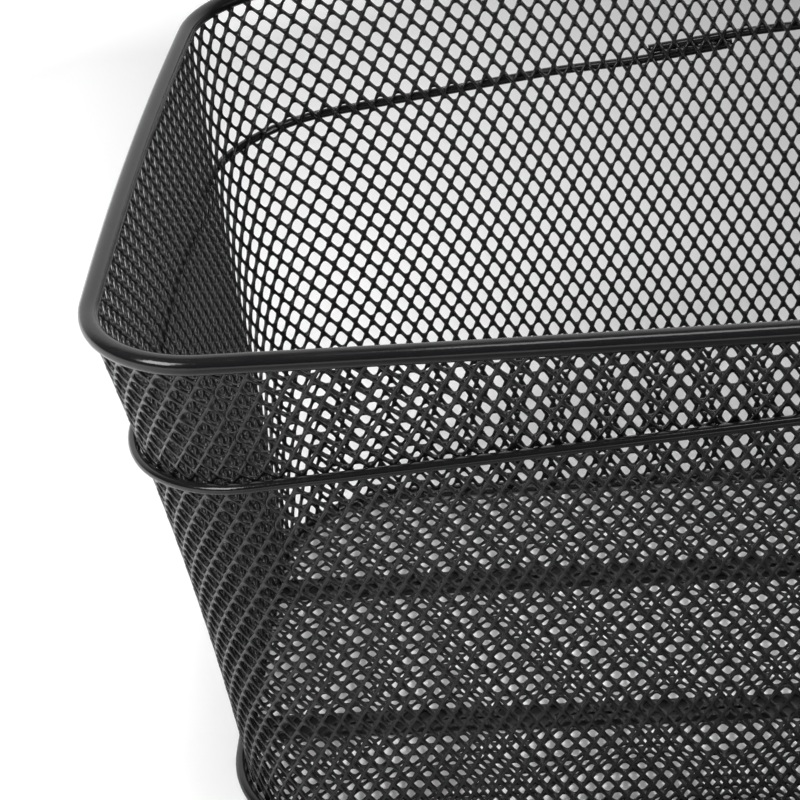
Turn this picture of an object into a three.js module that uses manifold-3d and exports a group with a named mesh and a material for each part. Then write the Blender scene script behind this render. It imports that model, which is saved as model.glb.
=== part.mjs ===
// Rear bicycle basket: a tapered bin of expanded steel mesh, welded to a bent-tube rim, a slanting
// wire hoop, a base hoop and two flat bearers that lie on the carrier.
// Millimetres, +Z up, +X along the basket, +Y across it, origin on the ground under its middle.
import * as THREE from 'three';
import { mergeVertices } from 'three/addons/utils/BufferGeometryUtils.js';
import loadManifold from 'manifold-3d';

// Overall size, over the outside of the rim tube
const LENGTH = 400;
const WIDTH = 300;
const HEIGHT = 232;

// Rim tube, hoop wires and bearer straps
const RIM_DIAMETER = 6.5;
const HOOP_DIAMETER = 3.2;
const BASE_HOOP_DIAMETER = 5;
const BEARER_WIDTH = 12;
const BEARER_THICKNESS = 3;
const BEARER_SPACING = 88;

// Walls: how far the base draws in at each end and side, and how much the wall line hollows
const END_DRAW_IN = 14;
const SIDE_DRAW_IN = 40;
const WALL_FLARE = 0.55;

// Plan of the mouth and of the base: corner radii, and how far the long sides and the ends bow out
const MOUTH_CORNER_RADIUS = 43;
const BASE_CORNER_RADIUS = 48;
const MOUTH_SIDE_BOW = 2.5;
const MOUTH_END_BOW = 4.5;
const BASE_SIDE_BOW = 1.2;
const BASE_END_BOW = 2.2;

// Slanting hoop: drop below the rim at mid length, rise from end to end, lapped ends at the rear
const HOOP_DROP = 38;
const HOOP_RISE = 40;
const HOOP_LAP = 20;
const HOOP_LAP_EASE = 45;

// Expanded mesh: one cell of the real sheet, and how many cells each way one modelled opening spans
const CELL_WIDTH = 6.5;
const CELL_LENGTH = 11.3;
const CELLS_PER_OPENING = 5;
const CORNER_COLUMNS = 3;
const MESH_THICKNESS = 2;
const STRAND_WIDTH = 3;
const STRAND_TILT = 0.6;
const FLOOR_BAND = 6;

// Clearance left at every weld seat
const WELD_GAP = 0.3;

// Facets of the tubes
const RIM_SIDES = 12;
const WIRE_SIDES = 8;
const CORNER_STEPS = 7;
const SIDE_STEPS = 4;

// Heights that follow from the stack: bearers on the ground, mesh on the bearers, rim on the mesh
const RIM_LEVEL = HEIGHT - RIM_DIAMETER / 2;
const MESH_BOTTOM = BEARER_THICKNESS + WELD_GAP;
const MESH_TOP = RIM_LEVEL - RIM_DIAMETER / 2 - WELD_GAP;
const BASE_HOOP_LEVEL = BASE_HOOP_DIAMETER / 2;
const HOOP_LEVEL = RIM_LEVEL - HOOP_DROP;

// How far the wall's strands reach out from its middle surface
const WALL_REACH = MESH_THICKNESS / 2 + STRAND_TILT;

// One opening of the modelled mesh
const OPENING_WIDTH = CELL_WIDTH * CELLS_PER_OPENING;
const OPENING_LENGTH = CELL_LENGTH * CELLS_PER_OPENING;

const lerp = THREE.MathUtils.lerp;

const rimCoat = new THREE.MeshStandardMaterial({ color: 0x232325, roughness: 0.32, metalness: 0 });
const wireCoat = new THREE.MeshStandardMaterial({ color: 0x1b1b1d, roughness: 0.3, metalness: 0 });
const meshCoat = new THREE.MeshStandardMaterial({ color: 0x2a2a2c, roughness: 0.45, metalness: 0 });
const bearerCoat = new THREE.MeshStandardMaterial({ color: 0x1d1d1f, roughness: 0.5, metalness: 0 });

// Radius of an arc that rises by bow over a chord of twice halfChord
const bowRadius = (halfChord, bow) => (halfChord ** 2 + bow ** 2) / (2 * bow);

// The basket's plan at one height: eight arcs in turn, each tangent to the next, anticlockwise from
// the front side. The second half of the ring is the first half turned by half a circle.
function planAt(z) {
  const drop = (RIM_LEVEL - z) / (RIM_LEVEL - MESH_BOTTOM);
  const drawn = drop + WALL_FLARE * drop * (1 - drop);
  const halfLength = (LENGTH - RIM_DIAMETER) / 2 - END_DRAW_IN * drawn;
  const halfWidth = (WIDTH - RIM_DIAMETER) / 2 - SIDE_DRAW_IN * drawn;
  const corner = lerp(MOUTH_CORNER_RADIUS, BASE_CORNER_RADIUS, drop);
  const sideRadius = bowRadius(halfLength, lerp(MOUTH_SIDE_BOW, BASE_SIDE_BOW, drop));
  const endRadius = bowRadius(halfWidth, lerp(MOUTH_END_BOW, BASE_END_BOW, drop));
  const side = new THREE.Vector2(0, sideRadius - halfWidth);
  const end = new THREE.Vector2(halfLength - endRadius, 0);

  // The corner arc touches both: its centre is where two shrunken circles cross
  const toEnd = end.clone().sub(side);
  const apart = toEnd.length();
  const fromSide = sideRadius - corner;
  const along = (fromSide ** 2 - (endRadius - corner) ** 2 + apart ** 2) / (2 * apart);
  const across = Math.sqrt(fromSide ** 2 - along ** 2);
  toEnd.divideScalar(apart);
  const centre = new THREE.Vector2(
    side.x + toEnd.x * along - toEnd.y * across,
    side.y + toEnd.y * along + toEnd.x * across,
  );
  const sideEdge = Math.atan2(centre.y - side.y, centre.x - side.x);
  const endEdge = Math.atan2(centre.y - end.y, centre.x - end.x);

  const half = [
    { x: side.x, y: side.y, radius: sideRadius, from: -Math.PI - sideEdge, to: sideEdge },
    { x: centre.x, y: centre.y, radius: corner, from: sideEdge, to: endEdge },
    { x: end.x, y: end.y, radius: endRadius, from: endEdge, to: -endEdge },
    { x: centre.x, y: -centre.y, radius: corner, from: -endEdge, to: -sideEdge },
  ];
  const turned = half.map((arc) => ({
    x: -arc.x, y: -arc.y, radius: arc.radius, from: arc.from + Math.PI, to: arc.to + Math.PI,
  }));
  return [...half, ...turned];
}

// Columns of openings on each arc of the ring, from the lengths at the rim
const arcLength = (arc) => arc.radius * (arc.to - arc.from);
const rimPlan = planAt(RIM_LEVEL);
const columnsOn = (arc) => Math.max(2, Math.round(arcLength(arc) / OPENING_WIDTH));
const arcColumns = rimPlan.map((arc, i) => (i % 2 ? CORNER_COLUMNS : columnsOn(arc)));
const arcStart = arcColumns.map((_, i) => arcColumns.slice(0, i).reduce((sum, n) => sum + n, 0));
const columnCount = arcColumns.reduce((sum, n) => sum + n, 0);

// A place on the ring: u counts columns anticlockwise from the front left, out is the distance
// beyond the wall's middle surface
function ringPlace(u, z, out = 0) {
  const wrapped = ((u % columnCount) + columnCount) % columnCount;
  const i = arcStart.findLastIndex((start) => start <= wrapped);
  const arc = planAt(z)[i];
  const angle = lerp(arc.from, arc.to, (wrapped - arcStart[i]) / arcColumns[i]);
  const outward = new THREE.Vector3(Math.cos(angle), Math.sin(angle), 0);
  const point = outward.clone().multiplyScalar(arc.radius + out);
  point.add(new THREE.Vector3(arc.x, arc.y, z));
  return { point, outward };
}

// Stations for a tube: the corners are stepped finely, the bowed sides less so
function ringStations() {
  return arcStart.flatMap((start, i) => {
    const steps = i % 2 ? CORNER_STEPS : SIDE_STEPS;
    return Array.from({ length: steps }, (_, k) => start + (arcColumns[i] * k) / steps);
  });
}

function indexedGeometry(points, triangles) {
  const geometry = new THREE.BufferGeometry().setFromPoints(points);
  geometry.setIndex(triangles);
  geometry.computeVertexNormals();
  return geometry;
}

// A round tube through the places, either a closed ring or one with flat ends
function tube(places, diameter, sides, closed) {
  const count = places.length;
  const points = [];
  const triangles = [];
  const tangents = places.map((_, i) => {
    const next = closed ? places[(i + 1) % count] : places[Math.min(i + 1, count - 1)];
    const last = closed ? places[(i + count - 1) % count] : places[Math.max(i - 1, 0)];
    return next.point.clone().sub(last.point).normalize();
  });
  places.forEach(({ point, outward }, i) => {
    const across = outward.clone().addScaledVector(tangents[i], -outward.dot(tangents[i])).normalize();
    const down = tangents[i].clone().cross(across);
    for (let k = 0; k < sides; k += 1) {
      const angle = (2 * Math.PI * (k + 0.5)) / sides;
      const spoke = across.clone().multiplyScalar(Math.cos(angle)).addScaledVector(down, Math.sin(angle));
      points.push(point.clone().addScaledVector(spoke, diameter / 2));
    }
  });
  const at = (i, k) => (i % count) * sides + (k % sides);
  const spans = closed ? count : count - 1;
  for (let i = 0; i < spans; i += 1) {
    for (let k = 0; k < sides; k += 1) {
      triangles.push(at(i, k), at(i, k + 1), at(i + 1, k));
      triangles.push(at(i + 1, k), at(i, k + 1), at(i + 1, k + 1));
    }
  }
  if (!closed) {
    const first = points.push(places[0].point) - 1;
    const last = points.push(places[count - 1].point) - 1;
    for (let k = 0; k < sides; k += 1) {
      triangles.push(first, at(0, k + 1), at(0, k));
      triangles.push(last, at(count - 1, k), at(count - 1, k + 1));
    }
  }
  return indexedGeometry(points, triangles);
}

// A sheet of lattice: each cell is an outline of grid corners, anticlockwise from outside, with an
// opening shrunk towards its middle. place(a, b, side) gives the point at a grid corner on the outer
// (side 1) or inner (side -1) face, and tilt leans the strands like upright slats.
function latticeGeometry(cells, place, tilt) {
  const points = [];
  const triangles = [];
  const known = new Map();
  const vertex = (a, b, side, lean) => {
    const key = [a.toFixed(4), b.toFixed(4), side].join();
    if (!known.has(key)) {
      known.set(key, points.push(place(a, b, side, lean)) - 1);
    }
    return known.get(key);
  };
  const quad = (p, q, r, s) => triangles.push(p, q, r, p, r, s);
  const edgeKey = (p, q) => `${p[0]},${p[1]}>${q[0]},${q[1]}`;
  const edges = new Set();
  for (const { corners } of cells) {
    corners.forEach((p, k) => edges.add(edgeKey(p, corners[(k + 1) % corners.length])));
  }
  for (const { middle, corners, open } of cells) {
    const rims = corners.map(([a, b]) => {
      const holeA = lerp(middle[0], a, open);
      const holeB = lerp(middle[1], b, open);
      const lean = tilt * Math.sign(a - middle[0]);
      return {
        outer: [vertex(a, b, 1, 0), vertex(a, b, -1, 0)],
        hole: [vertex(holeA, holeB, 1, lean), vertex(holeA, holeB, -1, lean)],
      };
    });
    rims.forEach((p, k) => {
      const q = rims[(k + 1) % rims.length];
      quad(p.outer[0], q.outer[0], q.hole[0], p.hole[0]);
      quad(p.outer[1], p.hole[1], q.hole[1], q.outer[1]);
      quad(p.hole[0], q.hole[0], q.hole[1], p.hole[1]);
      const start = corners[k];
      const finish = corners[(k + 1) % corners.length];
      if (!edges.has(edgeKey(finish, start))) {
        quad(q.outer[0], p.outer[0], p.outer[1], q.outer[1]);
      }
    });
  }
  return indexedGeometry(points, triangles);
}

// Share of a cell that is open, from its inscribed circle and the width of a strand
function openShare(width, length) {
  const inradius = (width * length) / (2 * Math.hypot(width, length));
  return 1 - STRAND_WIDTH / 2 / inradius;
}

// A diamond of the grid, with its opening
function diamond(a, b, open) {
  return { middle: [a, b], corners: [[a + 1, b], [a, b + 1], [a - 1, b], [a, b - 1]], open };
}

// Rows of diamonds up the wall, in half steps of the grid
const rowCount = Math.max(2, Math.round((MESH_TOP - MESH_BOTTOM) / OPENING_LENGTH));
const topRow = 2 * rowCount;

// One panel of wall mesh, some columns of one arc of the ring. It is cut from its neighbours along the
// strands, in a zigzag, so no upright bar shows at the cut. Half diamonds close it at base and rim.
function wallPanel(i, skipped, columns) {
  const first = 2 * (arcStart[i] + skipped);
  const beyond = first + 2 * columns;
  const columnWidth = arcLength(rimPlan[i]) / arcColumns[i];
  const open = openShare(columnWidth, (MESH_TOP - MESH_BOTTOM) / rowCount);
  const halfMiddle = 1 / 3;
  const cells = [];
  for (let a = first; a < beyond; a += 1) {
    for (let b = 0; b <= topRow; b += 1) {
      if ((a + b) % 2 === 0) continue;
      if (b === 0) {
        const corners = [[a + 1, 0], [a, 1], [a - 1, 0], [a, 0]];
        cells.push({ middle: [a, halfMiddle], corners, open: open / 2 + 1 / 4 });
      } else if (b === topRow) {
        const corners = [[a + 1, b], [a, b], [a - 1, b], [a, b - 1]];
        cells.push({ middle: [a, b - halfMiddle], corners, open: open / 2 + 1 / 4 });
      } else {
        cells.push(diamond(a, b, open));
      }
    }
  }
  const gap = WELD_GAP / columnWidth;
  const place = (a, b, side, lean) => {
    const inset = (a <= first ? gap : 0) - (a >= beyond - 1 ? gap : 0);
    const z = lerp(MESH_BOTTOM, MESH_TOP, b / topRow);
    return ringPlace(a / 2 + inset, z, (side * MESH_THICKNESS) / 2 + lean).point;
  };
  return latticeGeometry(cells, place, STRAND_TILT);
}

// The outline of a ring of places, seen from above
function outlineAt(z, out) {
  return ringStations().map((u) => {
    const { point } = ringPlace(u, z, out);
    return new THREE.Vector2(point.x, point.y);
  });
}

const wasm = await loadManifold();
wasm.setup();

function toSolid(geometry) {
  const bare = geometry.clone();
  bare.deleteAttribute('normal');
  bare.deleteAttribute('uv');
  const merged = mergeVertices(bare);
  const vertProperties = new Float32Array(merged.attributes.position.array);
  const triVerts = new Uint32Array(merged.index.array);
  return new wasm.Manifold(new wasm.Mesh({ numProp: 3, vertProperties, triVerts }));
}

function toGeometry(solid) {
  const { vertProperties, triVerts } = solid.getMesh();
  const geometry = new THREE.BufferGeometry();
  geometry.setAttribute('position', new THREE.BufferAttribute(new Float32Array(vertProperties), 3));
  geometry.setIndex(new THREE.BufferAttribute(new Uint32Array(triVerts), 1));
  geometry.computeVertexNormals();
  return geometry;
}

function slab(shape, bottom) {
  const geometry = new THREE.ExtrudeGeometry(shape, { depth: MESH_THICKNESS, bevelEnabled: false });
  return geometry.translate(0, 0, bottom);
}

// Floor: a flat sheet of the same lattice, long way along X, cut to the base and hemmed by a band
function floorGeometry() {
  const cornerStep = (Math.PI / 2) / (2 * CORNER_COLUMNS);
  const wallFacetDepth = BASE_CORNER_RADIUS * (1 - Math.cos(cornerStep / 2));
  const edge = -(WALL_REACH + wallFacetDepth + WELD_GAP);
  const outer = new THREE.Shape(outlineAt(MESH_BOTTOM, edge));
  const hem = new THREE.Shape(outlineAt(MESH_BOTTOM, edge));
  hem.holes.push(new THREE.Path(outlineAt(MESH_BOTTOM, edge - FLOOR_BAND)));

  const open = openShare(OPENING_WIDTH, OPENING_LENGTH);
  const reachA = 2 * Math.ceil(LENGTH / 2 / OPENING_LENGTH);
  const reachB = 2 * Math.ceil(WIDTH / 2 / OPENING_WIDTH);
  const cells = [];
  for (let a = -reachA; a <= reachA; a += 1) {
    for (let b = -reachB; b <= reachB; b += 1) {
      if ((a + b) % 2 !== 0) cells.push(diamond(a, b, open));
    }
  }
  const place = (a, b, side) => new THREE.Vector3(
    (a * OPENING_LENGTH) / 2,
    (b * OPENING_WIDTH) / 2,
    MESH_BOTTOM + (MESH_THICKNESS * (1 + side)) / 2,
  );
  const sheet = toSolid(latticeGeometry(cells, place, 0));
  const trimmed = sheet.intersect(toSolid(slab(outer, MESH_BOTTOM)));
  return toGeometry(trimmed.add(toSolid(slab(hem, MESH_BOTTOM))));
}

function rimGeometry() {
  const places = ringStations().map((u) => ringPlace(u, RIM_LEVEL));
  return tube(places, RIM_DIAMETER, RIM_SIDES, true);
}

function baseHoopGeometry() {
  const out = WALL_REACH + WELD_GAP + BASE_HOOP_DIAMETER / 2;
  const places = ringStations().map((u) => ringPlace(u, BASE_HOOP_LEVEL, out));
  return tube(places, BASE_HOOP_DIAMETER, WIRE_SIDES, true);
}

// The slanting hoop is one wire whose ends lap, one above the other, at the middle of the rear side
function midHoopGeometry() {
  const rear = rimPlan.length / 2;
  const out = WALL_REACH + WELD_GAP + HOOP_DIAMETER / 2;
  const columnWidth = arcLength(rimPlan[rear]) / arcColumns[rear];
  const middle = arcStart[rear] + arcColumns[rear] / 2;
  const start = middle - HOOP_LAP / 2 / columnWidth;
  const finish = middle + columnCount + HOOP_LAP / 2 / columnWidth;
  const ease = HOOP_LAP_EASE / columnWidth;
  const flat = HOOP_LAP / columnWidth;
  const rounds = ringStations().flatMap((u) => [u, u + columnCount, u + 2 * columnCount]);
  const inside = rounds.filter((u) => u > start + flat + ease && u < finish - flat - ease);
  const lead = [0, flat, flat + ease / 3, flat + (2 * ease) / 3, flat + ease];
  const stations = [
    ...lead.map((step) => start + step),
    ...inside.sort((p, q) => p - q),
    ...lead.map((step) => finish - step).reverse(),
  ];
  const lapShift = (HOOP_DIAMETER + WELD_GAP) / 2;
  const places = stations.map((u) => {
    const low = 1 - THREE.MathUtils.smoothstep(u, start + flat, start + flat + ease);
    const high = THREE.MathUtils.smoothstep(u, finish - flat - ease, finish - flat);
    const shift = lapShift * (high - low);
    let z = HOOP_LEVEL;
    for (let pass = 0; pass < 4; pass += 1) {
      z = HOOP_LEVEL + (HOOP_RISE / LENGTH) * ringPlace(u, z, out).point.x + shift;
    }
    return ringPlace(u, z, out);
  });
  return tube(places, HOOP_DIAMETER, WIRE_SIDES, false);
}

// How far along X the inside of the base hoop lies at a given distance from the middle line
function baseHoopReach(y) {
  const inner = WALL_REACH;
  let near = arcStart[1];
  let far = arcStart[4];
  for (let pass = 0; pass < 40; pass += 1) {
    const u = (near + far) / 2;
    if (ringPlace(u, BASE_HOOP_LEVEL, inner).point.y < y) near = u;
    else far = u;
  }
  return ringPlace(near, BASE_HOOP_LEVEL, inner).point.x;
}

// A flat strap across the underside, welded to the base hoop at both ends
function bearerGeometry() {
  const hoopFacetDepth = BASE_CORNER_RADIUS * (1 - Math.cos(Math.PI / 4 / CORNER_STEPS));
  const reach = baseHoopReach((BEARER_SPACING + BEARER_WIDTH) / 2) - hoopFacetDepth;
  const strap = new THREE.BoxGeometry(2 * reach, BEARER_WIDTH, BEARER_THICKNESS);
  return strap.translate(0, 0, BEARER_THICKNESS / 2);
}

const basket = new THREE.Group();

function addPiece(name, geometry, material) {
  const piece = new THREE.Mesh(geometry, material.clone());
  piece.name = name;
  basket.add(piece);
  return piece;
}

addPiece('top_rim', rimGeometry(), rimCoat);
addPiece('mid_hoop', midHoopGeometry(), wireCoat);
addPiece('base_hoop', baseHoopGeometry(), wireCoat);

// The sides are one panel each. The corners are narrow strips, so that each is nearly flat and the
// inside of the basket stays open between their hulls.
const panelNames = [
  'front_mesh', 'right_front_corner_mesh', 'right_mesh', 'right_rear_corner_mesh',
  'rear_mesh', 'left_rear_corner_mesh', 'left_mesh', 'left_front_corner_mesh',
];
panelNames.forEach((name, i) => {
  if (i % 2 === 0) {
    addPiece(name, wallPanel(i, 0, arcColumns[i]), meshCoat);
  } else {
    for (let strip = 0; strip < CORNER_COLUMNS; strip += 1) {
      addPiece(`${name}_${strip + 1}`, wallPanel(i, strip, 1), meshCoat);
    }
  }
});
addPiece('floor_mesh', floorGeometry(), meshCoat);

addPiece('front_bearer', bearerGeometry(), bearerCoat).position.y = -BEARER_SPACING / 2;
addPiece('rear_bearer', bearerGeometry(), bearerCoat).position.y = BEARER_SPACING / 2;

export default basket;
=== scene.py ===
# %% [markdown]
# # A rear bicycle basket of expanded mesh
#
# The basket is a tapered bin of black coated steel mesh. A bent tube makes the rim, a thin wire hoop
# slants round the wall, a heavier hoop closes the foot, and two flat straps carry the floor.
# The CAD model gives every place and size. Its mesh is coarse, so here it is replaced by the real one,
# cell for cell.

# %% Load the CAD frame
import math

import bmesh
import bpy
import numpy as np
from mathutils import Matrix, Vector


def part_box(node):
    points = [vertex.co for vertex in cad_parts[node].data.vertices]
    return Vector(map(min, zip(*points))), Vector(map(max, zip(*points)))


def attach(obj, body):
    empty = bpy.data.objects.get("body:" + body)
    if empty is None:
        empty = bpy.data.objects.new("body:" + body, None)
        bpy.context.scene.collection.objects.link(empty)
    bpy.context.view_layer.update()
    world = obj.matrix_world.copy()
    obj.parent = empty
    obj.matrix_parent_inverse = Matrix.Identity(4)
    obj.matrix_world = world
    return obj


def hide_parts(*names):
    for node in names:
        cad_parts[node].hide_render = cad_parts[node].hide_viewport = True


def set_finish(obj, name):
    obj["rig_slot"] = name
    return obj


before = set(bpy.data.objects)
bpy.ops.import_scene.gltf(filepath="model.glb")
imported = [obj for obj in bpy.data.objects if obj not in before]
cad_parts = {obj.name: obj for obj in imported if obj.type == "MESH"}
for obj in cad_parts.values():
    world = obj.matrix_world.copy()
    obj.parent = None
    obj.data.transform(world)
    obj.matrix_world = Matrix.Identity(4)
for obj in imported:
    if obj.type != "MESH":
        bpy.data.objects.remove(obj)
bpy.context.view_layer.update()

# %% [markdown]
# ## Sizes
#
# The sizes repeat those of the CAD source, in metres, because the visual pieces have to sit exactly on
# the solids. Only the slanting hoop is 0.4 mm thicker than its solid, as the wire and its coat look.
# The rim's middle line is half a tube inside the overall size, and the foot of the wall is drawn in from
# it, more at the long sides than at the ends.

# %% Sizes of the basket
MM = 0.001
RIM_DIAMETER = 6.5 * MM
HOOP_DIAMETER = 3.6 * MM
BASE_HOOP_DIAMETER = 5 * MM
RIM_HALF_LENGTH = (400 * MM - RIM_DIAMETER) / 2
RIM_HALF_WIDTH = (300 * MM - RIM_DIAMETER) / 2
RIM_LEVEL = 232 * MM - RIM_DIAMETER / 2
MESH_BOTTOM = 3.3 * MM
END_DRAW_IN = 14 * MM
SIDE_DRAW_IN = 40 * MM
WALL_FLARE = 0.55
MOUTH_CORNER = 43 * MM
BASE_CORNER = 48 * MM
MOUTH_SIDE_BOW = 2.5 * MM
MOUTH_END_BOW = 4.5 * MM
BASE_SIDE_BOW = 1.2 * MM
BASE_END_BOW = 2.2 * MM
WALL_HEIGHT = RIM_LEVEL - MESH_BOTTOM
print("wall is", round(1000 * WALL_HEIGHT), "mm high")

# %% [markdown]
# ## The plan of the wall
#
# Seen from above, the wall at any height is a ring of eight arcs: four gently bowed sides and four round
# corners, each arc tangent to the next. The ring is symmetric, so one quarter of it, from the middle of
# the front to the middle of the right end, describes it all. The corner's centre is where two circles
# cross: the side's and the end's, both made smaller by the corner's radius.
# The sums are written with numpy arrays, so that one call places every point of a piece of mesh.

# %% Quarter plan of the wall at given heights
def quarter_plan(z):
    drop = (RIM_LEVEL - z) / WALL_HEIGHT
    drawn = drop + WALL_FLARE * drop * (1 - drop)
    half_length = RIM_HALF_LENGTH - END_DRAW_IN * drawn
    half_width = RIM_HALF_WIDTH - SIDE_DRAW_IN * drawn
    corner = MOUTH_CORNER + (BASE_CORNER - MOUTH_CORNER) * drop
    side_bow = MOUTH_SIDE_BOW + (BASE_SIDE_BOW - MOUTH_SIDE_BOW) * drop
    end_bow = MOUTH_END_BOW + (BASE_END_BOW - MOUTH_END_BOW) * drop
    side_radius = (half_length ** 2 + side_bow ** 2) / (2 * side_bow)
    end_radius = (half_width ** 2 + end_bow ** 2) / (2 * end_bow)
    side_y = side_radius - half_width
    end_x = half_length - end_radius
    apart = np.hypot(end_x, side_y)
    reach = side_radius - corner
    along = (reach ** 2 - (end_radius - corner) ** 2 + apart ** 2) / (2 * apart)
    across = np.sqrt(reach ** 2 - along ** 2)
    corner_x = (end_x * along + side_y * across) / apart
    corner_y = side_y + (end_x * across - side_y * along) / apart
    side_edge = np.arctan2(corner_y - side_y, corner_x)
    end_edge = np.arctan2(corner_y, corner_x - end_x)
    return {
        "side": (0 * z, side_y, side_radius, 0 * z - math.pi / 2, side_edge),
        "corner": (corner_x, corner_y, corner, side_edge, end_edge),
        "end": (end_x, 0 * z, end_radius, end_edge, 0 * z),
    }


def arc_length(arc):
    return arc[2] * (arc[4] - arc[3])


rim_plan = quarter_plan(np.array(RIM_LEVEL))
rim_quarter = sum(arc_length(arc) for arc in rim_plan.values())
print("rim is", round(4000 * float(rim_quarter)), "mm round")

# %% A place on the wall
def quarter_place(quarter, z, out):
    plan = quarter_plan(z)
    side, corner, end = plan["side"], plan["corner"], plan["end"]
    length = quarter * sum(arc_length(arc) for arc in plan.values())
    past_side = length - arc_length(side)
    past_corner = past_side - arc_length(corner)
    which = [past_side < 0, past_corner < 0]
    angle = np.select(which, [side[3] + length / side[2], corner[3] + past_side / corner[2]],
                      end[3] + past_corner / end[2])
    centre_x = np.select(which, [side[0], corner[0]], end[0])
    centre_y = np.select(which, [side[1], corner[1]], end[1])
    radius = np.select(which, [side[2], corner[2]], end[2]) + out
    return centre_x + radius * np.cos(angle), centre_y + radius * np.sin(angle)


def fold(turn):
    around = np.mod(turn + 4, 4)
    half = np.mod(around, 2)
    right = np.where(around < 2, 1.0, -1.0)
    front = np.where(half < 1, 1.0, -1.0) * right
    return np.minimum(half, 2 - half), right, front


def ring_place(turn, z, out):
    quarter, right, front = fold(turn)
    x, y = quarter_place(quarter, z, out)
    return np.stack([x * right, y * front, z], axis=-1)


middles = ring_place(np.array([0.0, 1.0, 2.0, 3.0]), np.full(4, RIM_LEVEL), np.zeros(4))
print("rim at the middle of front, right, rear and left in mm:", (1000 * middles).round(0).tolist())

# %% [markdown]
# ## How the mesh wraps the wall
#
# Expanded mesh is a sheet of slits pulled open into diamonds. Its strands bend easily but don't stretch.
# At the foot the cells stand evenly side by side. The wall flares, so towards the rim they have to open
# wider, and they do so from the corners on, leaning and growing shorter as they open. A net of strands of
# one fixed length does this by itself, so the script lays such a net: each new knot is the point of the
# wall that is one strand away from two neighbouring knots below it. Two distances and two unknowns are a
# job for a few Newton steps, done for a whole row of knots at once.

# %% Knots of the next half row
CELL_WIDTH = 6.4 * MM
CELL_LENGTH = 11.3 * MM
STRAND_PITCH = math.hypot(CELL_WIDTH, CELL_LENGTH) / 2
SMALL = 1e-6
NEWTON_STEPS = 8
FIRST_RISE = 0.8 * STRAND_PITCH
print("knots are", round(1000 * STRAND_PITCH, 2), "mm apart along a strand")


def strand_errors(turn, z, left, right):
    here = ring_place(turn, z, 0 * z)
    lengths = [np.linalg.norm(here - left, axis=-1), np.linalg.norm(here - right, axis=-1)]
    return np.array(lengths) - STRAND_PITCH


def next_knots(turn, z):
    below = ring_place(turn, z, 0 * z)
    left, right = below[:-1], below[1:]
    turn = (turn[:-1] + turn[1:]) / 2
    z = (z[:-1] + z[1:]) / 2 + FIRST_RISE
    for _ in range(NEWTON_STEPS):
        error = strand_errors(turn, z, left, right)
        by_turn = (strand_errors(turn + SMALL, z, left, right) - error) / SMALL
        by_z = (strand_errors(turn, z + SMALL, left, right) - error) / SMALL
        scale = by_turn[0] * by_z[1] - by_z[0] * by_turn[1]
        turn = turn - (by_z[1] * error[0] - by_z[0] * error[1]) / scale
        z = z - (by_turn[0] * error[1] - by_turn[1] * error[0]) / scale
    return turn, z


# %% [markdown]
# The basket is symmetric, so one quarter of the net is laid, with its outer knots mirrored at both ends.
# Knots lie on whole columns in one half row and on half columns in the next. The places between them are
# the middles of cells, and take the mean of the knots beside them. That gives a full table of places, and
# any point of the flat sheet finds its own by interpolation.

# %% Lay the net from the foot to the rim
QUARTER_COLUMNS = 42
FIRST_ROW = -1
HALF_ROWS = 49
NET_START = MESH_BOTTOM - 0.86 * CELL_LENGTH


def interleave(even, odd):
    row = np.empty(len(even) + len(odd))
    row[0::2] = even
    row[1::2] = odd
    return row


def lay_net():
    turn = np.arange(QUARTER_COLUMNS + 1) / QUARTER_COLUMNS
    z = np.full(turn.shape, NET_START)
    turns, heights = [], []
    for half_row in range(HALF_ROWS):
        if half_row % 2:
            turn = np.concatenate([[-turn[0]], turn, [2 - turn[-1]]])
            z = np.concatenate([z[:1], z, z[-1:]])
        between_turn = (turn[:-1] + turn[1:]) / 2
        between_z = (z[:-1] + z[1:]) / 2
        if half_row % 2:
            turns.append(interleave(between_turn, turn[1:-1]))
            heights.append(interleave(between_z, z[1:-1]))
        else:
            turns.append(interleave(turn, between_turn))
            heights.append(interleave(z, between_z))
        turn, z = next_knots(turn, z)
    return np.array(turns), np.array(heights)


net_turns, net_heights = lay_net()
net_rows = FIRST_ROW + np.arange(HALF_ROWS) / 2
for name, half_column in (("side", 0), ("corner", 54), ("end", 2 * QUARTER_COLUMNS)):
    rows = np.interp(RIM_LEVEL, net_heights[:, half_column], net_rows)
    print("rows up to the rim at the", name, round(float(rows), 1))

# %% A place on the sheet
def look_up(table, across, up):
    left = np.clip(across.astype(int), 0, table.shape[1] - 2)
    low = np.clip(up.astype(int), 0, table.shape[0] - 2)
    share = across - left
    lower = table[low, left] * (1 - share) + table[low, left + 1] * share
    upper = table[low + 1, left] * (1 - share) + table[low + 1, left + 1] * share
    return lower + (upper - lower) * (up - low)


def sheet_place(columns, rows, out):
    quarter, right, front = fold(columns / QUARTER_COLUMNS)
    across = 2 * QUARTER_COLUMNS * quarter
    up = 2 * (rows - FIRST_ROW)
    z = look_up(net_heights, across, up)
    x, y = quarter_place(look_up(net_turns, across, up), z, out)
    return np.stack([x * right, y * front, z], axis=-1)


# %% [markdown]
# ## A flat piece of expanded mesh
#
# Each diamond starts as one face of a grid that is turned by 45 degrees and pulled to the size of a cell.
# Insetting every face by half a strand leaves a frame round an opening, and deleting the inner faces opens
# it. The wall is made in several pieces, and a strand on a seam must not be split lengthwise, so the strands
# along the far seam of a piece belong to it whole, and those along its near seam to its neighbour.

# %% Flat sheet of diamonds
STRAND_WIDTH = 0.53 * MM
STRAND_THICKNESS = 1.5 * MM
STRAND_LEAN = -0.42 * MM
SLAT_LEAN = 0.24 * MM
SPARE_CELLS = 8
ROUNDING = 0.01


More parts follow.
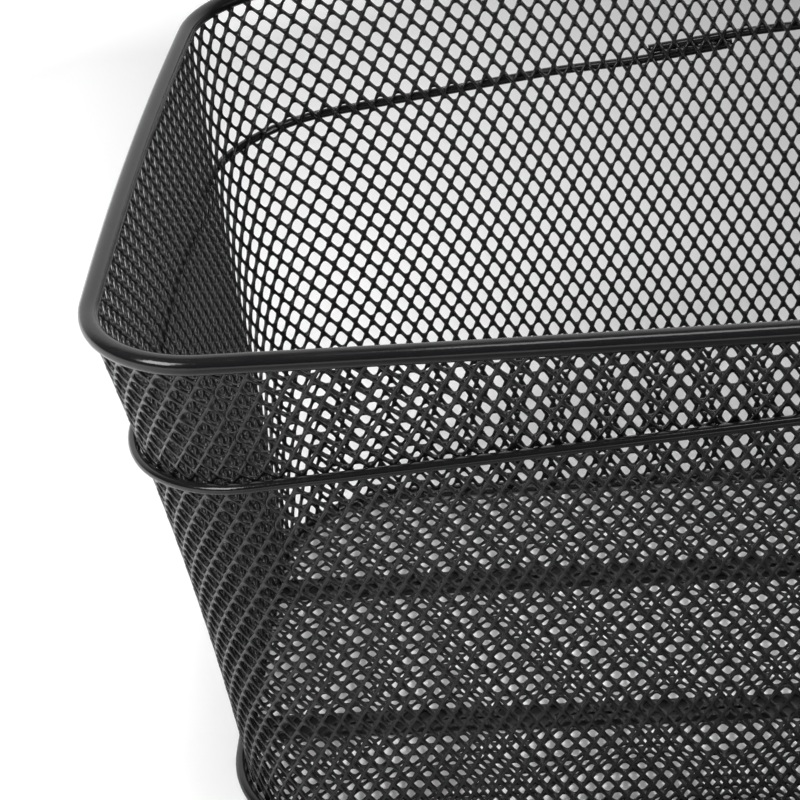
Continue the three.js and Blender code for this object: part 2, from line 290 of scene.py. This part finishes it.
def diamond_sheet(first, last, low, high, width, length):
    sheet = bmesh.new()
    reach = 2 * math.ceil((last - first + high - low + SPARE_CELLS) / 2)
    bmesh.ops.create_grid(sheet, x_segments=reach, y_segments=reach, size=reach / 2)
    turn = Matrix.Rotation(-math.pi / 4, 3, "Z")
    bmesh.ops.rotate(sheet, verts=sheet.verts, cent=(0, 0, 0), matrix=turn)
    bmesh.ops.scale(sheet, verts=sheet.verts, vec=(width / math.sqrt(2), length / math.sqrt(2), 1))
    middle = (width * round((first + last) / 2), length * round((low + high) / 2), 0)
    bmesh.ops.translate(sheet, verts=sheet.verts, vec=middle)
    outside = []
    for face in sheet.faces:
        centre = face.calc_center_median()
        column = centre.x / width + ROUNDING
        row = centre.y / length + ROUNDING
        if not (first - 1 <= column < last + 1 and low <= row < high):
            outside.append(face)
    bmesh.ops.delete(sheet, geom=outside, context="FACES")
    return sheet


def side_of(cell, first, last, width):
    column = cell.calc_center_median().x / width + ROUNDING
    return -1 if column < first else int(column >= last)


# %% [markdown]
# Real openings aren't sharp: the metal is left whole where four strands meet, so the corners of a cell are
# round. Each long edge of a frame is cut in four, and the points along an opening are pulled towards the
# middle of their cell, the more the nearer they are to a corner. They also lean, because pulling the sheet
# open twists its strands like the slats of a blind: seen from outside, the lower and the right edge of a
# strand go out, and its upper and left edges in. From above, one then looks out through the far wall more
# easily than in through the near one.
# The strand's edges get a low weight and its middle line a full one: the Solidify modifier reads the
# weights later, and gives a strand that is thick in the middle and thin at its edges.

# %% Open the diamonds
EDGE_WEIGHT = 0.7
EDGE_CUTS = 3


def frame_owners(cells, first, last, width):
    owners = {}
    for cell in cells:
        side = side_of(cell, first, last, width)
        for edge in cell.edges:
            owners.update((face, side) for face in edge.link_faces if face is not cell)
    return owners


def open_diamonds(sheet, first, last, width, strand):
    weights = sheet.verts.layers.deform.verify()
    cells = sheet.faces[:]
    bmesh.ops.inset_individual(sheet, faces=cells, thickness=strand / 2, use_even_offset=True)
    owners = frame_owners(cells, first, last, width)
    inner = {corner for cell in cells for corner in cell.verts}
    along = [edge for cell in cells for edge in cell.edges]
    foreign = []
    for edge in sheet.edges:
        if not inner.intersection(edge.verts):
            along.append(edge)
            beside = {owners[face] for face in edge.link_faces}
            if 0 not in beside or -1 in beside:
                foreign.extend(edge.link_faces)
    for corner in sheet.verts:
        corner[weights][0] = EDGE_WEIGHT if corner in inner else 1.0
    bmesh.ops.delete(sheet, geom=cells + foreign, context="FACES")
    along = [edge for edge in along if edge.is_valid]
    bmesh.ops.subdivide_edges(sheet, edges=along, cuts=EDGE_CUTS, use_grid_fill=True)


# %% Round the openings and lean the strands
SIDE_PULL = 0.12
END_PULL = 0.35
PULL_POWER = 2.7


def cell_offset(place, width, length):
    column = place.x / width
    row = place.y / length
    upright = (column - round(column), row - math.floor(row) - 0.5)
    between = (column - math.floor(column) - 0.5, row - round(row))
    return min(upright, between, key=lambda offset: abs(offset[0]) + abs(offset[1]))


def round_openings(sheet, width, length, side_pull, end_pull, slat_lean):
    weights = sheet.verts.layers.deform.verify()
    for corner in sheet.verts:
        if corner[weights][0] < (1 + EDGE_WEIGHT) / 2:
            across, along = cell_offset(corner.co, width, length)
            share = abs(across) / (abs(across) + abs(along))
            pull = side_pull * share ** PULL_POWER + end_pull * (1 - share) ** PULL_POWER
            corner.co.x -= width * across * pull
            corner.co.y -= length * along * pull
            corner.co.z = STRAND_LEAN * 2 * across + slat_lean * 2 * along


def opened_sheet(first, last, low, high, width, length):
    sheet = diamond_sheet(first, last, low, high, width, length)
    open_diamonds(sheet, first, last, width, STRAND_WIDTH)
    round_openings(sheet, width, length, SIDE_PULL, END_PULL, SLAT_LEAN)
    return sheet


# %% [markdown]
# ## Finishing a piece
#
# Every finished piece is an object at the origin whose place is in its mesh, shaded smooth, that rides on
# the one body of the basket and stands for its CAD nodes.

# %% Make an object of a bmesh
pieces = {}


def finish_piece(name, shape, nodes, slot_name):
    mesh = bpy.data.meshes.new(name)
    shape.to_mesh(mesh)
    shape.free()
    mesh.polygons.foreach_set("use_smooth", [True] * len(mesh.polygons))
    piece = bpy.data.objects.new(name, mesh)
    bpy.context.scene.collection.objects.link(piece)
    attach(piece, "root")
    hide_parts(*nodes)
    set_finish(piece, slot_name)
    pieces[name] = piece
    return piece


def finish_mesh(name, shape, nodes, thickness):
    faces = len(shape.faces)
    piece = finish_piece(name, shape, nodes, "mesh_coat")
    piece.vertex_groups.new(name="strand_middle")
    strands = piece.modifiers.new("strand_thickness", "SOLIDIFY")
    strands.thickness = thickness
    strands.offset = 0
    strands.vertex_group = "strand_middle"
    strands.thickness_vertex_group = 0
    strands.use_rim = True
    print(name, "has", faces, "faces before it gets its thickness")


# %% [markdown]
# ## The wall
#
# The real wall is one sheet. Here it is cut in eight to keep each piece light: four sides, and four corners
# that each stand for three strips of the solids. Each panel is opened flat, laid on the wall, and trimmed
# by two level cuts: at the foot, and inside the rim tube, where the real sheet is welded. The cells of
# neighbouring panels continue each other, because all of them count the same columns.

# %% Lay a panel of mesh on the wall
MESH_TOP = RIM_LEVEL - RIM_DIAMETER / 4
WALL_ROWS = 23
CUT_TOLERANCE = 1e-7


def trim(shape, place, outward):
    everything = shape.verts[:] + shape.edges[:] + shape.faces[:]
    bmesh.ops.bisect_plane(shape, geom=everything, dist=CUT_TOLERANCE, plane_co=place, plane_no=outward,
                           clear_outer=True)


def wall_panel(name, first, last, nodes):
    panel = opened_sheet(first, last, FIRST_ROW, WALL_ROWS, CELL_WIDTH, CELL_LENGTH)
    flat = np.array([corner.co for corner in panel.verts])
    places = sheet_place(flat[:, 0] / CELL_WIDTH, flat[:, 1] / CELL_LENGTH, flat[:, 2])
    for corner, place in zip(panel.verts, places):
        corner.co = place
    trim(panel, (0, 0, MESH_TOP), (0, 0, 1))
    trim(panel, (0, 0, MESH_BOTTOM), (0, 0, -1))
    finish_mesh(name, panel, nodes, STRAND_THICKNESS)


def corner_nodes(name):
    return [f"{name}_{strip}" for strip in (1, 2, 3)]


wall_panel("front_wall_mesh", -21, 21, ["front_mesh"])
wall_panel("right_front_wall_mesh", 21, 33, corner_nodes("right_front_corner_mesh"))
wall_panel("right_wall_mesh", 33, 51, ["right_mesh"])
wall_panel("right_rear_wall_mesh", 51, 63, corner_nodes("right_rear_corner_mesh"))
wall_panel("rear_wall_mesh", 63, 105, ["rear_mesh"])
wall_panel("left_rear_wall_mesh", 105, 117, corner_nodes("left_rear_corner_mesh"))
wall_panel("left_wall_mesh", 117, 135, ["left_mesh"])
wall_panel("left_front_wall_mesh", 135, 147, corner_nodes("left_front_corner_mesh"))

# %% [markdown]
# ## The floor
#
# The floor is a flat sheet of a slightly finer mesh, with its long way across the basket and its strands
# rolled flat, so its openings have sharp ends at the sides. The outline of the base is convex, so a ring of
# straight cuts trims the sheet to it, one bisect for each short edge of the outline. It is made in two
# halves, left and right, to keep each piece light.

# %% Floor sheet
FLOOR_MIDDLE = 4.3 * MM
FLOOR_THICKNESS = 1.2 * MM
FLOOR_STRAND = 0.65 * MM
FLOOR_SIDE_PULL = 0.04
FLOOR_END_PULL = 0.32
FLOOR_CELL_WIDTH = 6.1 * MM
FLOOR_CELL_LENGTH = 9.8 * MM
FLOOR_COLUMNS = 32
FLOOR_ROWS = 12
OUTLINE_STEP = 0.05


def base_outline():
    turns = np.arange(0, 4, OUTLINE_STEP)
    return ring_place(turns, np.full(turns.shape, MESH_BOTTOM), np.zeros(turns.shape))


def floor_sheet(name, first, last):
    sheet = diamond_sheet(first, last, -FLOOR_ROWS, FLOOR_ROWS, FLOOR_CELL_WIDTH, FLOOR_CELL_LENGTH)
    open_diamonds(sheet, first, last, FLOOR_CELL_WIDTH, FLOOR_STRAND)
    round_openings(sheet, FLOOR_CELL_WIDTH, FLOOR_CELL_LENGTH, FLOOR_SIDE_PULL, FLOOR_END_PULL, 0)
    bmesh.ops.translate(sheet, verts=sheet.verts, vec=(0, 0, FLOOR_MIDDLE))
    outline = base_outline()
    for here, there in zip(outline, np.roll(outline, -1, axis=0)):
        along = there - here
        trim(sheet, here, (along[1], -along[0], 0))
    finish_mesh(name, sheet, ["floor_mesh"], FLOOR_THICKNESS)


floor_sheet("left_floor_mesh", -FLOOR_COLUMNS, 0)
floor_sheet("right_floor_mesh", 0, FLOOR_COLUMNS)

# %% [markdown]
# ## The rim and the base hoop
#
# Both are a straight bar bent through eight arcs and welded into a ring. A bending machine turns the bar
# about one centre after another, and Spin does exactly that with a circle: each spin starts from the last
# ring of the one before. The last ring meets the first, and merging doubles welds them. The rim holds the
# edge of the wall sheet inside it, and the base hoop lies against the strands from outside.

# %% Bend a ring through eight arcs
CORNER_STEPS = 24
SIDE_STEPS = 40
TIGHT_RADIUS = 100 * MM
SEAM_MERGE = 0.2 * MM


def ring_arcs(z):
    plan = quarter_plan(np.array(z))
    side, corner, end = [[float(value) for value in plan[key]] for key in ("side", "corner", "end")]
    half = [
        (side[0], side[1], side[2], -math.pi - side[4], side[4]),
        (corner[0], corner[1], corner[2], corner[3], corner[4]),
        (end[0], end[1], end[2], end[3], -end[3]),
        (corner[0], -corner[1], corner[2], -corner[4], -corner[3]),
    ]
    turned = [(-x, -y, radius, start + math.pi, stop + math.pi) for x, y, radius, start, stop in half]
    return half + turned


def bent_ring(z, out, diameter, sides):
    ring = bmesh.new()
    arcs = ring_arcs(z)
    x, y, radius, start, stop = arcs[0]
    made = bmesh.ops.create_circle(ring, cap_ends=False, radius=diameter / 2, segments=sides)
    upright = Matrix.Rotation(start, 3, "Z") @ Matrix.Rotation(math.pi / 2, 3, "X")
    bmesh.ops.rotate(ring, verts=made["verts"], cent=(0, 0, 0), matrix=upright)
    begin = (x + (radius + out) * math.cos(start), y + (radius + out) * math.sin(start), z)
    bmesh.ops.translate(ring, verts=made["verts"], vec=begin)
    section = ring.verts[:] + ring.edges[:]
    for x, y, radius, start, stop in arcs:
        steps = CORNER_STEPS if radius < TIGHT_RADIUS else SIDE_STEPS
        swept = bmesh.ops.spin(ring, geom=section, cent=(x, y, z), axis=(0, 0, 1), dvec=(0, 0, 0),
                               angle=stop - start, steps=steps, use_merge=False, use_duplicate=False)
        section = swept["geom_last"]
    bmesh.ops.remove_doubles(ring, verts=ring.verts, dist=SEAM_MERGE)
    bmesh.ops.recalc_face_normals(ring, faces=ring.faces)
    return ring


# %% Rim and base hoop
RIM_SIDES = 28
BASE_HOOP_SIDES = 20
STRAND_REACH = STRAND_THICKNESS / 2 + SLAT_LEAN / 4
BASE_HOOP_LEVEL = BASE_HOOP_DIAMETER / 2
BASE_HOOP_OUT = STRAND_REACH + BASE_HOOP_DIAMETER / 2
rim = bent_ring(RIM_LEVEL, 0, RIM_DIAMETER, RIM_SIDES)
base_ring = bent_ring(BASE_HOOP_LEVEL, BASE_HOOP_OUT, BASE_HOOP_DIAMETER, BASE_HOOP_SIDES)
for name, ring in (("rim", rim), ("base hoop", base_ring)):
    open_edges = sum(edge.is_boundary for edge in ring.edges)
    print(name, "has", len(ring.faces), "faces and", open_edges, "open edges")
finish_piece("rim_tube", rim, ["top_rim"], "rim_coat")
finish_piece("base_wire", base_ring, ["base_hoop"], "wire_coat")

# %% [markdown]
# ## The slanting hoop
#
# This hoop is one wire whose ends lap at the middle of the rear side, one above the other. It lies on the
# wall along a slanting plane, so its route is worked out on the wall: a turn round the ring, and the height
# that the plane has there. A curve with a round bevel is the natural tool for a wire along a route. It is
# turned into a mesh. Weld beads, small spheres drawn out along the wire, fill the groove between the lapped
# ends on the inside and the outside.

# %% Route of the slanting hoop
HOOP_LEVEL = RIM_LEVEL - 38 * MM
HOOP_SLOPE = 0.1
HOOP_LAP = 34 * MM
HOOP_LAP_EASE = 45 * MM
HOOP_OUT = STRAND_REACH + HOOP_DIAMETER / 2
HOOP_QUARTER = 314 * MM
HOOP_POINTS = 560
HOOP_ROUNDS = 5
LAP_TURN = 2


def hoop_place(turn, shift):
    z = HOOP_LEVEL
    for _ in range(HOOP_ROUNDS):
        place = ring_place(np.array(turn), np.array(z), np.array(HOOP_OUT))
        z = HOOP_LEVEL + HOOP_SLOPE * float(place[0]) + shift
    return Vector(place[:2].tolist() + [z])


def ease(value):
    value = min(max(value, 0.0), 1.0)
    return value * value * (3 - 2 * value)


def hoop_route():
    half_lap = HOOP_LAP / 2 / HOOP_QUARTER
    blend = HOOP_LAP_EASE / HOOP_QUARTER
    start = LAP_TURN - half_lap
    stop = LAP_TURN + 4 + half_lap
    route = []
    for turn in np.linspace(start, stop, HOOP_POINTS):
        low = 1 - ease((turn - start - 2 * half_lap) / blend)
        high = ease((turn - stop + 2 * half_lap + blend) / blend)
        route.append(hoop_place(turn, (high - low) * HOOP_DIAMETER / 2))
    return route


# %% A wire along a route
CAP_MERGE = 0.01 * MM


def wire_mesh(name, route, diameter):
    curve = bpy.data.curves.new(name, "CURVE")
    curve.dimensions = "3D"
    curve.bevel_depth = diameter / 2
    curve.bevel_resolution = 6
    curve.use_fill_caps = True
    spline = curve.splines.new("POLY")
    spline.points.add(len(route) - 1)
    for point, place in zip(spline.points, route):
        point.co = (*place, 1)
    holder = bpy.data.objects.new(name, curve)
    shape = bmesh.new()
    mesh = bpy.data.meshes.new_from_object(holder)
    shape.from_mesh(mesh)
    bpy.data.objects.remove(holder)
    bpy.data.meshes.remove(mesh)
    bmesh.ops.remove_doubles(shape, verts=shape.verts, dist=CAP_MERGE)
    bmesh.ops.recalc_face_normals(shape, faces=shape.faces)
    return shape


# %% Weld beads at the lap
WELD_WIDTH = 3 * MM
WELD_INSIDE = -HOOP_DIAMETER / 3
WELD_OUTSIDE = HOOP_DIAMETER / 4
WELD_BEADS = ((-0.022, 9 * MM), (0.004, 11 * MM), (0.027, 8 * MM))


def weld_bead(shape, turn, out, length):
    bead = bmesh.ops.create_icosphere(shape, subdivisions=3, radius=0.5)["verts"]
    bmesh.ops.scale(shape, verts=bead, vec=(length, WELD_WIDTH, WELD_WIDTH))
    middle = hoop_place(turn, 0)
    away = Vector((middle.x, middle.y, 0)).normalized()
    bmesh.ops.translate(shape, verts=bead, vec=middle + away * out)


hoop = wire_mesh("hoop_wire", hoop_route(), HOOP_DIAMETER)
for step, length in WELD_BEADS:
    weld_bead(hoop, LAP_TURN + step, WELD_INSIDE, length)
    weld_bead(hoop, LAP_TURN + step, WELD_OUTSIDE, length)
print("hoop has", len(hoop.faces), "faces")
finish_piece("hoop_wire", hoop, ["mid_hoop"], "wire_coat")

# %% [markdown]
# ## Bearer straps
#
# Two flat straps lie under the floor from end to end. A strap is a bar of steel with rolled edges: a cube
# scaled to its CAD box, with all its edges rounded by a bevel.

# %% Bearer straps
STRAP_ROUND = 0.9 * MM


def strap(name, node):
    low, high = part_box(node)
    bar = bmesh.new()
    bmesh.ops.create_cube(bar, size=1)
    bmesh.ops.scale(bar, verts=bar.verts, vec=high - low)
    bmesh.ops.translate(bar, verts=bar.verts, vec=(low + high) / 2)
    bmesh.ops.bevel(bar, geom=bar.edges[:], offset=STRAP_ROUND, segments=4, profile=0.5, affect="EDGES",
                    material=-1)
    print(name, "is", [round(1000 * side, 1) for side in high - low], "mm")
    finish_piece(name, bar, [node], "bearer_coat")


strap("front_strap", "front_bearer")
strap("rear_strap", "rear_bearer")

# %% [markdown]
# ## The black coat
#
# All the steel has one finish: a black baked coat, a little thick, so it rounds every edge and has a faint
# orange-peel skin. The shared effects are in one node group: a fine bump height, slow changes of roughness,
# and a trace of pale dust on faces that look up. Each material gives it its own values.
# Three small helpers add a node to a tree, link it and return its result. The floor and the world use them
# as well.

# %% Helpers for nodes
def ramp(tree, value, start, stop, low, high):
    node = tree.nodes.new("ShaderNodeMapRange")
    node.inputs["From Min"].default_value = start
    node.inputs["From Max"].default_value = stop
    node.inputs["To Min"].default_value = low
    node.inputs["To Max"].default_value = high
    tree.links.new(value, node.inputs["Value"])
    return node.outputs["Result"]


def combined(tree, operation, first, second):
    node = tree.nodes.new("ShaderNodeMath")
    node.operation = operation
    tree.links.new(first, node.inputs[0])
    tree.links.new(second, node.inputs[1])
    return node.outputs["Value"]


def distance_along(tree, place, direction):
    node = tree.nodes.new("ShaderNodeVectorMath")
    node.operation = "DOT_PRODUCT"
    node.inputs[1].default_value = direction
    tree.links.new(place, node.inputs[0])
    return node.outputs["Value"]


# %% Shared coat effects
def coat_group():
    group = bpy.data.node_groups.new("coat_skin", "ShaderNodeTree")
    face = group.interface
    face.new_socket("Coat colour", in_out="INPUT", socket_type="NodeSocketColor")
    face.new_socket("Dust colour", in_out="INPUT", socket_type="NodeSocketColor")
    face.new_socket("Dust", in_out="INPUT", socket_type="NodeSocketFloat")
    face.new_socket("Gloss low", in_out="INPUT", socket_type="NodeSocketFloat")
    face.new_socket("Gloss high", in_out="INPUT", socket_type="NodeSocketFloat")
    face.new_socket("Peel scale", in_out="INPUT", socket_type="NodeSocketFloat")
    face.new_socket("Colour", in_out="OUTPUT", socket_type="NodeSocketColor")
    face.new_socket("Roughness", in_out="OUTPUT", socket_type="NodeSocketFloat")
    face.new_socket("Height", in_out="OUTPUT", socket_type="NodeSocketFloat")
    nodes = group.nodes
    links = group.links
    given = nodes.new("NodeGroupInput")
    result = nodes.new("NodeGroupOutput")
    where = nodes.new("ShaderNodeTexCoord")

    peel = nodes.new("ShaderNodeTexNoise")
    peel.inputs["Detail"].default_value = 2.0
    links.new(where.outputs["Object"], peel.inputs["Vector"])
    links.new(given.outputs["Peel scale"], peel.inputs["Scale"])
    links.new(peel.outputs["Fac"], result.inputs["Height"])

    clouds = nodes.new("ShaderNodeTexNoise")
    clouds.inputs["Scale"].default_value = 45.0
    clouds.inputs["Detail"].default_value = 4.0
    links.new(where.outputs["Object"], clouds.inputs["Vector"])
    gloss = nodes.new("ShaderNodeMapRange")
    gloss.inputs["From Min"].default_value = 0.3
    gloss.inputs["From Max"].default_value = 0.7
    links.new(clouds.outputs["Fac"], gloss.inputs["Value"])
    links.new(given.outputs["Gloss low"], gloss.inputs["To Min"])
    links.new(given.outputs["Gloss high"], gloss.inputs["To Max"])
    links.new(gloss.outputs["Result"], result.inputs["Roughness"])

    surface = nodes.new("ShaderNodeNewGeometry")
    split = nodes.new("ShaderNodeSeparateXYZ")
    links.new(surface.outputs["Normal"], split.inputs["Vector"])
    upward = ramp(group, split.outputs["Z"], 0.2, 1.0, 0.0, 1.0)
    specks = nodes.new("ShaderNodeTexNoise")
    specks.inputs["Scale"].default_value = 260.0
    specks.inputs["Detail"].default_value = 5.0
    links.new(where.outputs["Object"], specks.inputs["Vector"])
    settled = combined(group, "MULTIPLY", upward, specks.outputs["Fac"])
    amount = combined(group, "MULTIPLY", settled, given.outputs["Dust"])
    mix = nodes.new("ShaderNodeMix")
    mix.data_type = "RGBA"
    links.new(amount, mix.inputs["Factor"])
    links.new(given.outputs["Coat colour"], mix.inputs["A"])
    links.new(given.outputs["Dust colour"], mix.inputs["B"])
    links.new(mix.outputs["Result"], result.inputs["Colour"])
    return group


coat_skin = coat_group()
print("coat group has", len(coat_skin.nodes), "nodes")

# %% Coats of the rim, wires, mesh and straps
COAT_BLACK = (0.006, 0.006, 0.007, 1)
MESH_BLACK = (0.006, 0.006, 0.0065, 1)
DUST_GREY = (0.28, 0.27, 0.26, 1)
PEEL_DEPTH = 0.03 * MM


def coat(name, colour, gloss, peel, dust):
    material = bpy.data.materials.new(name)
    material.use_nodes = True
    nodes = material.node_tree.nodes
    links = material.node_tree.links
    shader = nodes["Principled BSDF"]
    skin = nodes.new("ShaderNodeGroup")
    skin.node_tree = coat_skin
    skin.inputs["Coat colour"].default_value = colour
    skin.inputs["Dust colour"].default_value = DUST_GREY
    skin.inputs["Dust"].default_value = dust
    skin.inputs["Gloss low"].default_value = gloss[0]
    skin.inputs["Gloss high"].default_value = gloss[1]
    skin.inputs["Peel scale"].default_value = peel
    bump = nodes.new("ShaderNodeBump")
    bump.inputs["Strength"].default_value = 1.0
    bump.inputs["Distance"].default_value = PEEL_DEPTH
    links.new(skin.outputs["Height"], bump.inputs["Height"])
    links.new(bump.outputs["Normal"], shader.inputs["Normal"])
    links.new(skin.outputs["Colour"], shader.inputs["Base Color"])
    links.new(skin.outputs["Roughness"], shader.inputs["Roughness"])
    shader.inputs["IOR"].default_value = 1.5
    return material


coats = {
    "rim_coat": coat("rim_coat", COAT_BLACK, gloss=(0.12, 0.18), peel=700, dust=0.03),
    "wire_coat": coat("wire_coat", COAT_BLACK, gloss=(0.12, 0.18), peel=900, dust=0.02),
    "mesh_coat": coat("mesh_coat", MESH_BLACK, gloss=(0.14, 0.24), peel=1100, dust=0.03),
    "bearer_coat": coat("bearer_coat", COAT_BLACK, gloss=(0.3, 0.4), peel=800, dust=0.05),
}
for piece in pieces.values():
    piece.data.materials.append(coats[piece["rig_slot"]])
print("coats on", len(pieces), "pieces")

# %% [markdown]
# ## Floor, light and background
#
# The basket stands on a white floor in front of white. The floor is a real surface, so it keeps the
# shadow. Its colour for the camera holds a painted shade: a little darker behind the basket at the right,
# where the light falls off. It glows to full white some way off, and painted light whitens it at the left.
# A glossy black coat shows what is round it, so the floor and the world look different to a mirrored ray:
# the floor's colour for these rays holds a painted shade, pale at the left and behind, dull at the front
# right, where the room is dark. A mirrored white behind gives the left run of the rim its grey band.
# A soft lamp above and one at the left light the scene. A strip above draws the thin line on the near rim,
# and small lamps at the near corner and at the right put the sparks on the bends and the strands. A narrow
# beam from above reaches the ground through the floor of the basket.

# %% Material of the floor
# Direction in which the floor's painted shade for reflected rays turns pale.
PAINTED_PALE_SIDE = (-0.95, 0.3, 0)


def floor_paper():
    paper = bpy.data.materials.new("white_floor")
    paper.use_nodes = True
    tree = paper.node_tree
    shader = tree.nodes["Principled BSDF"]
    shader.inputs["Roughness"].default_value = 0.9
    shader.inputs["Emission Color"].default_value = (1, 1, 1, 1)
    path = tree.nodes.new("ShaderNodeLightPath")
    where = tree.nodes.new("ShaderNodeTexCoord")
    place = where.outputs["Object"]
    split = tree.nodes.new("ShaderNodeSeparateXYZ")
    tree.links.new(place, split.inputs["Vector"])

    # Painted shade in the floor's colour for the camera: darker towards the right, behind the basket.
    painted_shade_rightward = ramp(tree, split.outputs["X"], -0.16, 0.06, 1.0, 0.72)
    painted_shade_backward = ramp(tree, split.outputs["Y"], 0.12, 0.3, 1.0, 0.7)
    painted_shade_seen = combined(tree, "MAXIMUM", painted_shade_rightward, painted_shade_backward)
    # Painted shade in the floor's colour for all rays but the camera's: dull at the front right, pale
    # towards the left and behind.
    mirrored_painted_shade = ramp(tree, distance_along(tree, place, PAINTED_PALE_SIDE), -0.05, 0.35, 0.22, 0.95)
    shade = tree.nodes.new("ShaderNodeMix")
    shade.data_type = "RGBA"
    tree.links.new(path.outputs["Is Camera Ray"], shade.inputs["Factor"])
    tree.links.new(mirrored_painted_shade, shade.inputs["A"])
    tree.links.new(painted_shade_seen, shade.inputs["B"])
    tree.links.new(shade.outputs["Result"], shader.inputs["Base Color"])

    distance = tree.nodes.new("ShaderNodeVectorMath")
    distance.operation = "LENGTH"
    tree.links.new(place, distance.inputs[0])
    # Glow for camera and mirrored rays: full white far off, and painted light at the left that lifts the
    # floor's shade there.
    far = ramp(tree, distance.outputs["Value"], 0.66, 0.92, 0.0, 1.0)
    left = ramp(tree, split.outputs["X"], -0.28, -0.37, 0.0, 0.2)
    far_glow_and_painted_light = combined(tree, "MAXIMUM", far, left)
    shown = combined(tree, "MAXIMUM", path.outputs["Is Camera Ray"], path.outputs["Is Glossy Ray"])
    glow = combined(tree, "MULTIPLY", far_glow_and_painted_light, shown)
    tree.links.new(glow, shader.inputs["Emission Strength"])
    return paper


# %% Floor
STAGE_HALF_SIZE = 6


def stage_floor():
    ground = bmesh.new()
    bmesh.ops.create_grid(ground, x_segments=8, y_segments=8, size=STAGE_HALF_SIZE)
    mesh = bpy.data.meshes.new("stage_floor")
    ground.to_mesh(mesh)
    ground.free()
    mesh.materials.append(floor_paper())
    floor = bpy.data.objects.new("stage_floor", mesh)
    bpy.context.scene.collection.objects.link(floor)


stage_floor()
print("floor reaches", STAGE_HALF_SIZE, "m each way")

# %% Lamps
def area_lamp(name, place, target, size, power, mirrored=True):
    lamp = bpy.data.lights.new(name, "AREA")
    lamp.shape = "RECTANGLE"
    lamp.size, lamp.size_y = size
    lamp.energy = power
    holder = bpy.data.objects.new(name, lamp)
    holder.location = place
    aim = Vector(target) - Vector(place)
    holder.rotation_euler = aim.to_track_quat("-Z", "Y").to_euler()
    holder.visible_glossy = mirrored
    bpy.context.scene.collection.objects.link(holder)
    print(name, "gives", power, "W")
    return lamp


area_lamp("lamp_above", (-0.3, -0.25, 1.15), (-0.15, -0.05, 0), (0.9, 0.7), 5.5, mirrored=False)
area_lamp("lamp_strip", (0.25, -0.42, 1.15), (0.25, -0.2, 0), (0.9, 0.3), 3.7)
area_lamp("lamp_corner", (-0.8, -0.65, 0.8), (-0.15, -0.14, 0.2), (0.42, 0.42), 5.5)
area_lamp("lamp_right", (1.0, -0.66, 0.7), (-0.1, 0, 0.12), (0.3, 0.3), 3.2)
area_lamp("lamp_left", (-0.9, 0.25, 0.7), (-0.1, 0.1, 0.1), (0.6, 0.5), 5, mirrored=False)
beam = area_lamp("lamp_inside", (-0.05, -0.1, 1.2), (-0.03, 0, 0), (0.3, 0.3), 0.18, mirrored=False)
beam.spread = math.radians(30)

# %% World
def white_studio():
    world = bpy.data.worlds.new("studio")
    world.use_nodes = True
    tree = world.node_tree
    sky = tree.nodes["Background"]
    sky.inputs["Color"].default_value = (1, 1, 1, 1)
    where = tree.nodes.new("ShaderNodeTexCoord")
    behind = distance_along(tree, where.outputs["Generated"], (0, 1, 0))
    backdrop = ramp(tree, behind, 0.25, 0.65, 0.1, 1.0)
    path = tree.nodes.new("ShaderNodeLightPath")
    mirrored = tree.nodes.new("ShaderNodeMix")
    mirrored.inputs["A"].default_value = 0.05
    tree.links.new(path.outputs["Is Glossy Ray"], mirrored.inputs["Factor"])
    tree.links.new(backdrop, mirrored.inputs["B"])
    seen = tree.nodes.new("ShaderNodeMix")
    seen.inputs["B"].default_value = 1.0
    tree.links.new(path.outputs["Is Camera Ray"], seen.inputs["Factor"])
    tree.links.new(mirrored.outputs["Result"], seen.inputs["A"])
    tree.links.new(seen.outputs["Result"], sky.inputs["Strength"])
    return world


bpy.context.scene.world = white_studio()
print("world is", bpy.context.scene.world.name)

# %% [markdown]
# ## Camera
#
# The photograph looks down on the near left corner from in front. The camera's place, turn and lens come
# from a fit to the rim, the hoop and the rows of mesh. The lens needs no shift.

# %% Camera
CAMERA_PLACE = Vector((-1.5, -763.6, 603.9)) * MM
YAW = -0.1479
PITCH = -0.5598
ROLL = -0.1385
FOCAL_PIXELS = 2441
PICTURE_PIXELS = 800
SENSOR_WIDTH = 36
forward = Vector((math.sin(YAW) * math.cos(PITCH), math.cos(YAW) * math.cos(PITCH), math.sin(PITCH)))
level_right = Vector((math.cos(YAW), -math.sin(YAW), 0))
level_up = level_right.cross(forward)
right = math.cos(ROLL) * level_right + math.sin(ROLL) * level_up
up = math.cos(ROLL) * level_up - math.sin(ROLL) * level_right
lens = bpy.data.cameras.new("camera")
lens.sensor_width = SENSOR_WIDTH
lens.lens = FOCAL_PIXELS * SENSOR_WIDTH / PICTURE_PIXELS
lens.clip_start = 0.01
camera = bpy.data.objects.new("camera", lens)
turn = Matrix((right, up, -forward)).transposed()
camera.matrix_world = Matrix.Translation(CAMERA_PLACE) @ turn.to_4x4()
bpy.context.scene.collection.objects.link(camera)
bpy.context.scene.camera = camera
bpy.context.scene.view_settings.view_transform = "Standard"
print("lens", round(lens.lens, 1), "mm")
